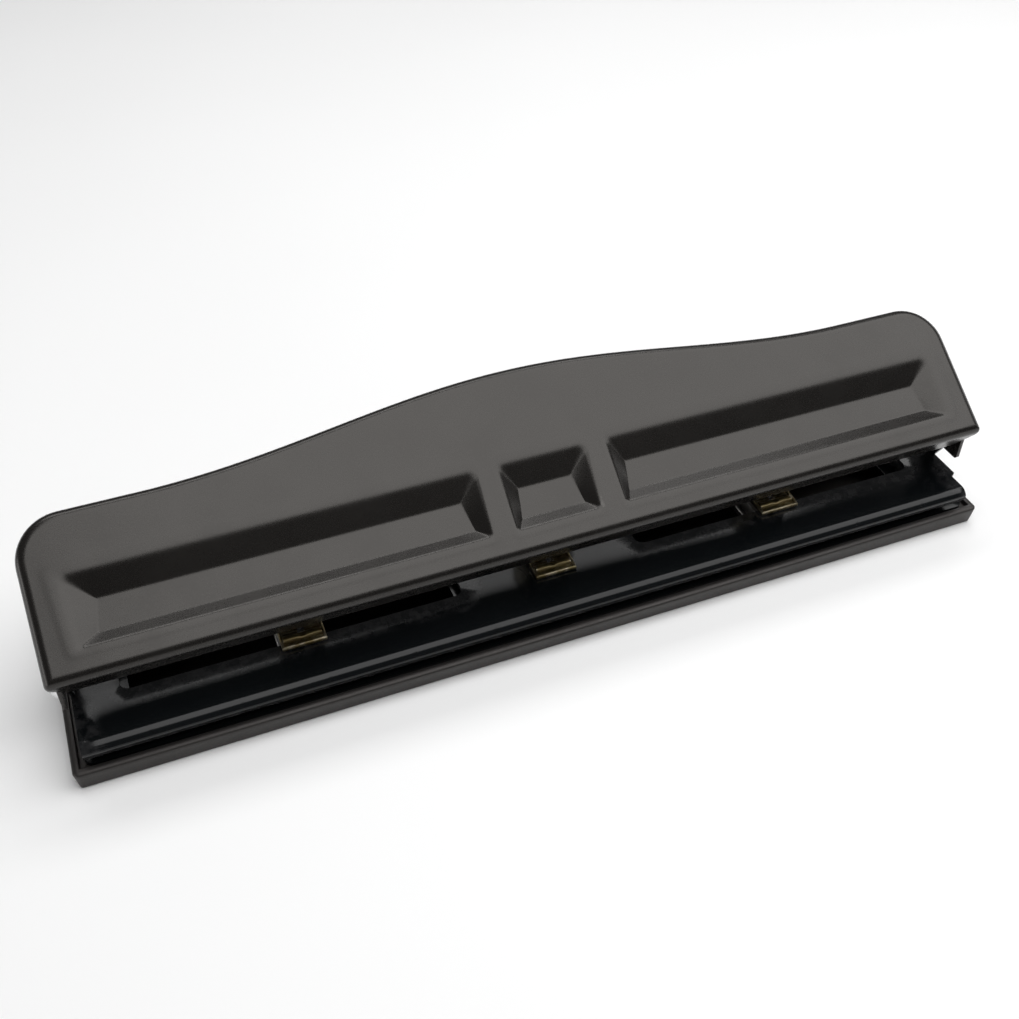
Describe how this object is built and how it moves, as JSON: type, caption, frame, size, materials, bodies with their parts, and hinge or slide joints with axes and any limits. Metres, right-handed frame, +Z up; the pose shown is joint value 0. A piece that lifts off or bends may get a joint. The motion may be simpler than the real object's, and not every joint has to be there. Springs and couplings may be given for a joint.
{
  "type": "hole punch",
  "caption": "Adjustable desktop paper punch with sliding heads on a slotted sheet-metal frame, a full-length stamped lever and a chip tray underneath.",
  "frame": {"origin": "centre of the underside of the chip tray, on the table", "axes": "+X along the punch, from the left head to the right; +Y from the paper side to the back; +Z up"},
  "size_m": [0.2634, 0.0636, 0.0583],
  "materials": {
    "tray_plastic": "fine matt grain",
    "frame_enamel": "gloss black enamel",
    "lever_paint": "satin charcoal black paint",
    "yellow_zinc": "yellow passivated zinc plate",
    "yoke_steel": "zinc plated",
    "bare_steel": "polished steel",
    "spring_steel": "oiled spring steel"
  },
  "bodies": {
    "tray": {"chip_tray": "tray_plastic"},
    "frame": {"base_plate": "frame_enamel", "guide_plate": "frame_enamel", "frame_rivets": "bare_steel", "centre_bracket": "yellow_zinc", "centre_yoke": "yoke_steel", "centre_latch": "yellow_zinc", "centre_rivets": "bare_steel", "centre_spring": "spring_steel"},
    "lever": {"handle_lever": "lever_paint", "pivot_pins": "bare_steel", "pivot_clips": "spring_steel"},
    "left_head": {"left_bracket": "yellow_zinc", "left_yoke": "yoke_steel", "left_latch": "yellow_zinc", "left_rivets": "bare_steel", "left_spring": "spring_steel"},
    "right_head": {"right_bracket": "yellow_zinc", "right_yoke": "yoke_steel", "right_latch": "yellow_zinc", "right_rivets": "bare_steel", "right_spring": "spring_steel"},
    "left_punch": {"left_punch_pin": "bare_steel", "left_pin_clip": "spring_steel"},
    "centre_punch": {"centre_punch_pin": "bare_steel", "centre_pin_clip": "spring_steel"},
    "right_punch": {"right_punch_pin": "bare_steel", "right_pin_clip": "spring_steel"}
  },
  "joints": [
    {"name": "frame_lift", "type": "slide", "parent": "tray", "child": "frame", "axis": [0, 0, 1], "range_m": [0, 0.02], "stiffness_N_per_m": 40, "springref_m": -0.05},
    {"name": "lever_pivot", "type": "hinge", "parent": "frame", "child": "lever", "pos_m": [0, -0.016, 0.0225], "axis": [-1, 0, 0], "range_deg": [0, 26], "stiffness_Nm_per_rad": 0.4, "springref_deg": -20.05},
    {"name": "left_head_slide", "type": "slide", "parent": "frame", "child": "left_head", "axis": [-1, 0, 0], "range_m": [-0.037, 0.038]},
    {"name": "right_head_slide", "type": "slide", "parent": "frame", "child": "right_head", "axis": [1, 0, 0], "range_m": [-0.037, 0.038]},
    {"name": "left_punch_stroke", "type": "slide", "parent": "left_head", "child": "left_punch", "axis": [0, 0, -1], "range_m": [0, 0.0054], "deforming": ["left_spring"]},
    {"name": "centre_punch_stroke", "type": "slide", "parent": "frame", "child": "centre_punch", "axis": [0, 0, -1], "range_m": [0, 0.0054], "deforming": ["centre_spring"]},
    {"name": "right_punch_stroke", "type": "slide", "parent": "right_head", "child": "right_punch", "axis": [0, 0, -1], "range_m": [0, 0.0054], "deforming": ["right_spring"]}
  ],
  "couplings": [
    {"joint": "left_punch_stroke", "follows": "lever_pivot", "m_per_rad": 0.01168},
    {"joint": "centre_punch_stroke", "follows": "lever_pivot", "m_per_rad": 0.01168},
    {"joint": "right_punch_stroke", "follows": "lever_pivot", "m_per_rad": 0.01168}
  ]
}
